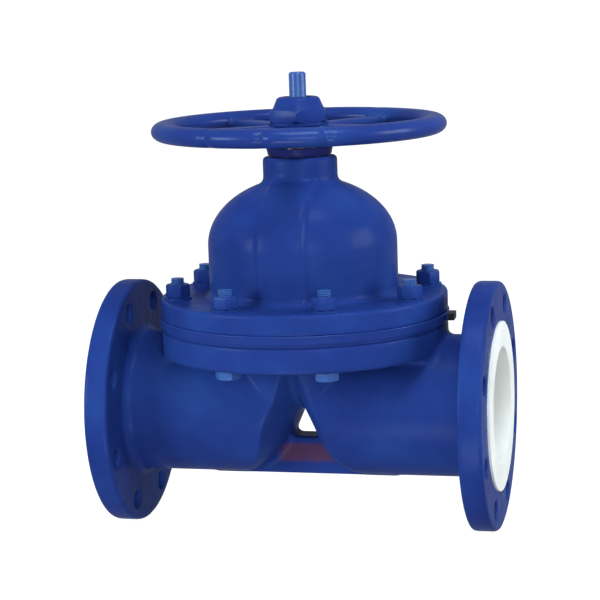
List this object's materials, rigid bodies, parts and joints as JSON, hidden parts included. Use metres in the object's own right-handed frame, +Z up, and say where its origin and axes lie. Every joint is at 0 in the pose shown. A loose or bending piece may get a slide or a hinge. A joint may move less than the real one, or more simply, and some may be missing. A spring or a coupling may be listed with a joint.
{
  "type": "diaphragm valve",
  "caption": "Lined weir diaphragm valve with two pipe flanges, a domed bonnet, a rising stem and a handwheel.",
  "frame": {"origin": "centre of the inlet flange's bolt circle, on its machined iron face; the lining's lip stands 2 mm in front of it", "axes": "+X along the flow from inlet to outlet, +Z up the stem"},
  "size_m": [0.4, 0.296, 0.4609],
  "materials": {
    "painted_iron": "glossy blue enamel over cast iron",
    "painted_steel": "glossy blue enamel",
    "lining": "smooth white fluoropolymer",
    "rubber": "black rubber, its edge painted over in blue",
    "seal_rubber": "black",
    "steel": "machined",
    "bronze": "machined",
    "bare_iron": "as cast"
  },
  "bodies": {
    "valve": {"valve_body": "painted_iron", "body_lining": "lining", "diaphragm_face": "lining", "diaphragm_backing": "rubber", "bonnet": "painted_iron", "bonnet_bolts": "painted_steel", "bonnet_studs": "painted_steel", "bonnet_nuts": "painted_steel", "bonnet_washers": "painted_steel", "lower_thrust_washer": "steel", "upper_thrust_washer": "steel", "bearing_cap": "painted_steel", "cap_seal": "seal_rubber", "cap_screw": "painted_steel"},
    "wheel": {"handwheel": "painted_iron", "wheel_washer": "painted_steel", "wheel_nut": "painted_steel", "wheel_key": "steel", "stem_nut": "bronze"},
    "spindle": {"stem": "painted_steel", "compressor": "bare_iron", "compressor_pin": "steel", "diaphragm_stud": "steel"}
  },
  "joints": [
    {"name": "handwheel_turn", "type": "hinge", "parent": "valve", "child": "wheel", "pos_m": [0.198, 0, 0.2815], "axis": [0, 0, 1], "range_deg": [-720, 2520]},
    {"name": "stem_lift", "type": "slide", "parent": "valve", "child": "spindle", "axis": [0, 0, 1], "range_m": [-0.01, 0.035], "deforming": ["diaphragm_face", "diaphragm_backing"]}
  ],
  "couplings": [
    {"joint": "stem_lift", "follows": "handwheel_turn", "m_per_rad": 0.00079577}
  ]
}
